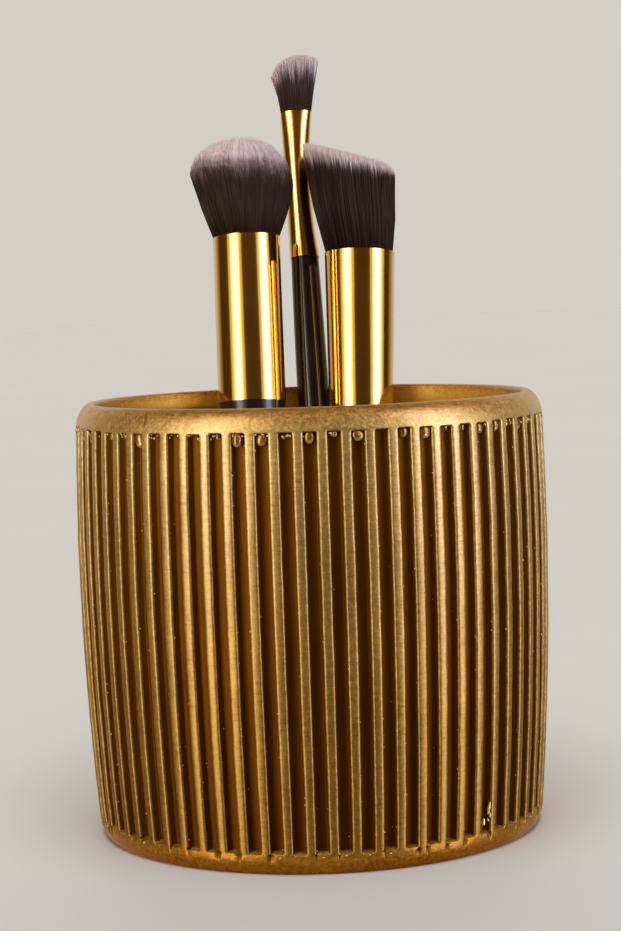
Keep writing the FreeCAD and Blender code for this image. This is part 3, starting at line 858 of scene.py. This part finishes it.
def tuft_core(body, half, start):
    """The dark heart under the hairs, a closed form that follows them, with the same values as the hairs."""
    bearing = math.tau * np.arange(CORE_COLUMNS) / CORE_COLUMNS
    circle = np.column_stack([np.cos(bearing), np.sin(bearing)])
    outside = hair_lines(body, CORE_SHARE * circle, half)
    parts = [along_hair(*outside, np.full(CORE_COLUMNS, share)) for share in CORE_LEVEL_SHARES]
    for ring_share in CORE_RING_SHARES:
        lines = hair_lines(body, ring_share * circle, half)
        parts.append(along_hair(*lines, np.full(CORE_COLUMNS, CORE_TOP_SHARE)))
    middle = hair_lines(body, np.zeros((1, 2)), half)
    top = along_hair(*middle, np.full(1, CORE_TOP_SHARE))
    foot = along_hair(*middle, np.zeros(1))
    faces = lay_faces(len(parts), CORE_COLUMNS, start).tolist()
    top_index = start + len(parts) * CORE_COLUMNS
    faces += fan(top_index - CORE_COLUMNS, CORE_COLUMNS, top_index, True)
    faces += fan(start, CORE_COLUMNS, top_index + 1, False)
    reaches = [CORE_SHARE] * len(CORE_LEVEL_SHARES) + list(CORE_RING_SHARES)
    lie = np.concatenate([circle * reach ** STROKE_POWERS[body] for reach in reaches] + [np.zeros((2, 2))])
    points = np.concatenate(parts + [top, foot])
    even = np.zeros(len(points))
    return points, faces, hair_light(body, points, even, even), even + CORE_TONE, lie


def new_material(name):
    """An empty node material with its shader."""
    material = bpy.data.materials.new(name)
    material.use_nodes = True
    tree = material.node_tree
    return material, tree, tree.nodes["Principled BSDF"]


def plug(tree, made, **inputs):
    """Set or link a node's sockets, which are named with underscores for spaces."""
    for title, value in inputs.items():
        join(tree, value, made.inputs[title.replace("_", " ")])


def add_node(tree, kind, settings=None, **inputs):
    """A node with its settings, values and links."""
    made = tree.nodes.new(kind)
    for title, value in (settings or {}).items():
        setattr(made, title, value)
    plug(tree, made, **inputs)
    return made


def join(tree, value, socket):
    """Link a socket to another, or set its value."""
    if isinstance(value, bpy.types.NodeSocket):
        tree.links.new(value, socket)
    else:
        socket.default_value = value


def place_of(tree):
    """Places on the object."""
    return tree.nodes.new("ShaderNodeTexCoord").outputs["Object"]


def attribute(tree, title):
    """A value that the mesh carries at its points."""
    return add_node(tree, "ShaderNodeAttribute", {"attribute_name": title}).outputs["Fac"]


def noise(tree, where, size, detail):
    """Noise with features about the given size in millimetres."""
    made = add_node(tree, "ShaderNodeTexNoise", Vector=where, Scale=1 / (size * MM), Detail=detail)
    return made.outputs["Fac"]


def between(tree, fac, low, high, start=0.0, end=1.0):
    """A value from low to high as the given one goes from start to end."""
    return add_node(tree, "ShaderNodeMapRange", Value=fac, From_Min=start, From_Max=end,
                    To_Min=low, To_Max=high).outputs["Result"]


def ramp(tree, fac, *stops):
    """A colour ramp through (position, colour) stops."""
    made = add_node(tree, "ShaderNodeValToRGB", Fac=fac)
    elements = made.color_ramp.elements
    while len(elements) < len(stops):
        elements.new(1)
    for element, (position, colour) in zip(elements, stops):
        element.position = position
        element.color = (*colour, 1)
    return made.outputs["Color"]


def mix(tree, kind, fac, first, second):
    """Two colours blended the given way."""
    made = tree.nodes.new("ShaderNodeMix")
    made.data_type = "RGBA"
    made.blend_type = kind
    sockets = [made.inputs[0]] + [socket for socket in made.inputs if socket.type == "RGBA"]
    for socket, value in zip(sockets, (fac, first, second)):
        join(tree, value, socket)
    return next(socket for socket in made.outputs if socket.type == "RGBA")


def maths(tree, kind, first, second):
    """One sum of two values or sockets."""
    made = tree.nodes.new("ShaderNodeMath")
    made.operation = kind
    for socket, value in zip(made.inputs, (first, second)):
        join(tree, value, socket)
    return made.outputs[0]


def bump(tree, height, depth):
    """Relief of the given depth in millimetres."""
    return add_node(tree, "ShaderNodeBump", Height=height, Distance=depth * MM).outputs["Normal"]


def gold_casting():
    """Grainy gold paint over a cast body: pale on the ribs, with painted highlights on their edges, painted
    shade in the grooves, pits and crack, and painted light and shade by height.
    """
    material, tree, shader = new_material("gold_casting")
    where = place_of(tree)
    cavity = attribute(tree, "cavity")
    edge = attribute(tree, "edge")
    rib = attribute(tree, "rib")
    inside = attribute(tree, "inside")
    plain = maths(tree, "SUBTRACT", 1.0, rib)
    top = between(tree, cavity, 1, 0, 0, RIB_TOP_CAVITY)
    grainy = maths(tree, "MAXIMUM", plain, maths(tree, "MULTIPLY", top, RIB_GRAIN_SHARE))
    grain = noise(tree, where, GRAIN_SIZE, 3)
    fleck = noise(tree, where, FLECK_SIZE, 2)
    cloud = noise(tree, where, CLOUD_SIZE, 4)
    lengthened = add_node(tree, "ShaderNodeMapping", Vector=where, Scale=STREAK_STRETCH).outputs["Vector"]
    streak = noise(tree, lengthened, STREAK_SIZE, 2)
    height = add_node(tree, "ShaderNodeSeparateXYZ", Vector=where).outputs["Z"]
    level = between(tree, height, 0, 1, 0, POT_HEIGHT * MM)
    # painted shade: darker down a groove's sides and in its floor, by how far a place is sunk
    paint = ramp(tree, cavity, *GROOVE_SHADE_COLOURS)
    # painted highlight: pale gold along the ribs' edges and the grooves' lower ends
    shine = maths(tree, "MULTIPLY", edge, between(tree, fleck, *EDGE_HIGHLIGHT_FLECKS))
    edge_lit = mix(tree, "MIX", shine, paint, (*EDGE_HIGHLIGHT_GOLD, 1))
    clouded = mix(tree, "MULTIPLY", 1.0, edge_lit, ramp(tree, cloud, *RIB_CLOUDS))
    ridged = maths(tree, "MULTIPLY", maths(tree, "MULTIPLY", rib, top), between(tree, edge, *RIDGE_STREAKS))
    broken = maths(tree, "MAXIMUM", ridged, between(tree, level, 0, CREST_STREAK_SHARE, *CREST_BAND))
    streaked = mix(tree, "MULTIPLY", broken, clouded, ramp(tree, streak, *RIB_STREAKS))
    dabs = maths(tree, "MULTIPLY", maths(tree, "ADD", grain, fleck), 0.5)
    grained = mix(tree, "MULTIPLY", grainy, streaked, ramp(tree, dabs, *BAND_GRAIN))
    # painted light and shade by height
    level_shaded = mix(tree, "MULTIPLY", 1.0, grained, ramp(tree, level, *LEVEL_LIGHT_AND_SHADE))
    # painted shade in the pits and the crack, in the deepest groove shade
    scarred = mix(tree, "MIX", attribute(tree, "scar"), level_shaded, (*GROOVE_DEEP_SHADE_BROWN, 1))
    finished = mix(tree, "MIX", inside, scarred, ramp(tree, cloud, *INSIDE_CLOUDS))
    low = between(tree, level, 1, 0, *LOW_BAND)
    sunk = maths(tree, "MAXIMUM", between(tree, cavity, 0, 1, 0, GROOVE_DULL_CAVITY), low)
    glossy = between(tree, level, 0, RIB_GLOSS_SHARE, *GLOSS_LEVELS)
    uneven = maths(tree, "MULTIPLY", maths(tree, "SUBTRACT", dabs, GRAIN_MIDDLE), grainy)
    painted = between(tree, uneven, *RIB_ROUGHNESS, -GRAIN_SPAN, GRAIN_SPAN)
    smooth = maths(tree, "MAXIMUM", inside, low)
    relief = maths(tree, "MULTIPLY", uneven, between(tree, inside, 1, INSIDE_RELIEF_SHARE))
    lines = maths(tree, "MULTIPLY", maths(tree, "MULTIPLY", streak, broken), STREAK_RELIEF_SHARE)
    plug(tree, shader, Base_Color=finished, Specular_IOR_Level=RIB_SPECULAR,
         Metallic=between(tree, sunk, RIB_METAL_SHARE, DULL_METAL_SHARE),
         Roughness=between(tree, smooth, painted, SMOOTH_ROUGHNESS),
         Coat_Weight=maths(tree, "MULTIPLY", top, glossy), Coat_Roughness=RIB_GLOSS_ROUGHNESS,
         Normal=bump(tree, maths(tree, "ADD", relief, lines), GRAIN_DEPTH))
    return material


def casting_bead():
    """Glossy amber of the blisters, with a painted highlight of pale gold on their lower edges, and pale
    gold on the specks that is partly a painted glint.
    """
    material, tree, shader = new_material("casting_bead")
    patch = noise(tree, place_of(tree), FLECK_SIZE, 2)
    # painted highlight where the pale value marks a blister's lower edge
    tint = mix(tree, "MIX", attribute(tree, "pale"), ramp(tree, patch, *BEAD_AMBERS), (*BEAD_PALE_GOLD, 1))
    plug(tree, shader, Base_Color=tint, Metallic=BEAD_METAL_SHARE,
         Roughness=between(tree, patch, *BEAD_ROUGHNESS),
         Coat_Weight=BEAD_GLOSS_SHARE, Coat_Roughness=BEAD_GLOSS_ROUGHNESS,
         Normal=bump(tree, patch, BEAD_BUMP_DEPTH))
    return material


def gold_metal():
    """Mirror-polished gold tube with a little wear."""
    material, tree, shader = new_material("gold_metal")
    where = place_of(tree)
    smear = noise(tree, where, SMEAR_SIZE, 3)
    dust = noise(tree, where, GRAIN_SIZE, 2)
    plug(tree, shader, Base_Color=ramp(tree, smear, *METAL_GOLDS), Metallic=1.0,
         Roughness=between(tree, smear, *METAL_ROUGHNESS),
         Coat_Weight=1.0, Coat_Roughness=METAL_GLOSS_ROUGHNESS, Coat_IOR=METAL_GLOSS_IOR,
         Normal=bump(tree, dust, METAL_DUST_DEPTH))
    return material


def black_lacquer():
    """Gloss black lacquer over turned wood."""
    material, tree, shader = new_material("black_lacquer")
    where = place_of(tree)
    cloud = noise(tree, where, SMEAR_SIZE, 3)
    speck = noise(tree, where, GRAIN_SIZE, 2)
    plug(tree, shader, Base_Color=ramp(tree, cloud, *LACQUER_BLACKS),
         Roughness=between(tree, speck, *LACQUER_ROUGHNESS),
         Normal=bump(tree, cloud, LACQUER_WAVE_DEPTH))
    return material


def hard_glue():
    """Hardened amber glue with small bubbles."""
    material, tree, shader = new_material("hard_glue")
    bubble = noise(tree, place_of(tree), FLECK_SIZE, 3)
    plug(tree, shader, Base_Color=ramp(tree, bubble, *GLUE_AMBERS),
         Roughness=between(tree, bubble, *GLUE_ROUGHNESS),
         Normal=bump(tree, bubble, GLUE_BUBBLE_DEPTH))
    return material


def brush_hair():
    """Dark synthetic hair with pinkish grey tips."""
    material, tree, shader = new_material("brush_hair")
    tone = attribute(tree, "tone")
    along = ramp(tree, attribute(tree, "light"), *HAIR_COLOURS)
    toned = mix(tree, "MULTIPLY", 1.0, along, ramp(tree, tone, *HAIR_TONES))
    lie = add_node(tree, "ShaderNodeCombineXYZ", X=attribute(tree, "lie_x"), Y=attribute(tree, "lie_y"))
    strand = noise(tree, lie.outputs["Vector"], HAIR_STRAND_SIZE, 2)
    combed = mix(tree, "MULTIPLY", 1.0, toned, ramp(tree, strand, *HAIR_STRANDS))
    plug(tree, shader, Base_Color=combed, Specular_IOR_Level=HAIR_SPECULAR,
         Roughness=between(tree, tone, *HAIR_ROUGHNESS))
    return material


def pale_floor():
    """Plain matt studio floor with a faint mottle."""
    material, tree, shader = new_material("pale_floor")
    cloud = noise(tree, place_of(tree), FLOOR_MOTTLE, 3)
    plug(tree, shader, Base_Color=ramp(tree, cloud, *FLOOR_GREYS),
         Roughness=between(tree, cloud, *FLOOR_ROUGHNESS))
    return material


def make_floor():
    """A wide pale floor under the pot."""
    mesh = bpy.data.meshes.new("floor")
    reach = FLOOR_HALF_SIZE * MM
    corners = [(-reach, -reach, 0), (reach, -reach, 0), (reach, reach, 0), (-reach, reach, 0)]
    mesh.from_pydata(corners, [], [(0, 1, 2, 3)])
    mesh.materials.append(pale_floor())
    floor = add_object("floor", mesh)
    floor.visible_glossy = False
    return floor


def hang_light(light, colour):
    """A light in the scene that the camera doesn't see."""
    light.color = colour
    lamp = add_object(light.name, light)
    lamp.visible_camera = False
    return lamp


def side_panels(name, bearing, colours, off_floor):
    """A tall panel that is brightest and whitest in its middle, bearing degrees right of the viewer."""
    turn = math.radians(bearing)
    toward = Vector((math.sin(turn), -math.cos(turn), 0))
    place = toward * PANEL_DISTANCE + UP * PANEL_LEVEL
    for number, (width, glow, colour) in enumerate(zip(PANEL_WIDTHS, PANEL_GLOWS, colours)):
        light = bpy.data.lights.new(f"{name}_{number}", "AREA")
        light.shape = "RECTANGLE"
        light.size = width * MM
        light.size_y = PANEL_HEIGHT * MM
        light.energy = glow * math.pi * light.size * light.size_y
        lamp = hang_light(light, colour)
        lamp.location = place * MM
        lamp.rotation_euler = (-toward).to_track_quat("-Z", "Y").to_euler()
        lamp.light_linking.receiver_collection = off_floor


def light_studio(floor):
    """Two tall soft panels that leave out the floor, and a soft ceiling light."""
    off_floor = bpy.data.collections.new("off_floor")
    off_floor.objects.link(floor)
    off_floor.collection_objects[0].light_linking.link_state = "EXCLUDE"
    side_panels("panel_left", LEFT_BEARING, LEFT_COLOURS, off_floor)
    side_panels("panel_right", RIGHT_BEARING, RIGHT_COLOURS, off_floor)
    ceiling = bpy.data.lights.new("ceiling", "SUN")
    ceiling.energy = CEILING_STRENGTH
    ceiling.angle = math.radians(CEILING_SPREAD)
    lamp = hang_light(ceiling, CEILING_COLOUR)
    lamp.rotation_euler = (math.radians(CEILING_TILT), 0, 0)
    lamp.visible_glossy = False


def make_room():
    """A room that is dim in front and brighter behind and above, with a plain backdrop for the camera."""
    bpy.context.scene.view_settings.view_transform = "Standard"
    world = bpy.data.worlds.new("studio")
    bpy.context.scene.world = world
    world.use_nodes = True
    tree = world.node_tree
    room = tree.nodes["Background"]
    direction = tree.nodes.new("ShaderNodeTexCoord").outputs["Generated"]
    split = add_node(tree, "ShaderNodeSeparateXYZ", Vector=direction)
    start, end, low, high = ROOM_BEHIND
    behind = between(tree, split.outputs["Y"], low, high, start, end)
    glow = ramp(tree, split.outputs["Y"], (start, ROOM_FRONT_COLOUR), (end, ROOM_BACK_COLOUR))
    start, end, low, high = ROOM_ABOVE
    above = between(tree, split.outputs["Z"], low, high, start, end)
    plug(tree, room, Color=glow, Strength=maths(tree, "MULTIPLY", behind, above))
    backdrop = add_node(tree, "ShaderNodeBackground", Color=(*BACKDROP_COLOUR, 1), Strength=1.0)
    seen = tree.nodes.new("ShaderNodeLightPath").outputs["Is Camera Ray"]
    both = add_node(tree, "ShaderNodeMixShader", Fac=seen)
    tree.links.new(room.outputs[0], both.inputs[1])
    tree.links.new(backdrop.outputs[0], both.inputs[2])
    tree.links.new(both.outputs[0], tree.nodes["World Output"].inputs["Surface"])


def make_camera():
    """The camera at the photograph's place and angle."""
    data = bpy.data.cameras.new("camera")
    data.sensor_width = SENSOR_WIDTH
    data.lens = FOCAL_PIXELS / IMAGE_LONG_SIDE * SENSOR_WIDTH
    camera = add_object("camera", data)
    down = math.radians(CAMERA_DOWN)
    roll = math.radians(CAMERA_ROLL)
    level = Vector((1, 0, 0))
    upright = Vector((0, math.sin(down), math.cos(down)))
    right = level * math.cos(roll) - upright * math.sin(roll)
    top = level * math.sin(roll) + upright * math.cos(roll)
    camera.matrix_world = Matrix((right, top, right.cross(top))).transposed().to_4x4()
    camera.location = Vector(CAMERA_PLACE) * MM
    data.clip_start = MM
    data.clip_end = 2 * FLOOR_HALF_SIZE * MM
    bpy.context.scene.camera = camera


def dress(name, material):
    """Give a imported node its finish."""
    for slot in frame["nodes"][name].material_slots:
        slot.link = "OBJECT"
        slot.material = material


def main():
    """Dress the part and set up the studio."""
    make_pot(gold_casting())
    make_beads(casting_bead())
    metal = gold_metal()
    lacquer = black_lacquer()
    glue = hard_glue()
    hair = brush_hair()
    for body in TUFTS:
        make_tuft(body, hair)
        dress(body + "_ferrule", metal)
        dress(body + "_handle", lacquer)
        dress(body + "_glue", glue)
    light_studio(make_floor())
    make_room()
    make_camera()


main()
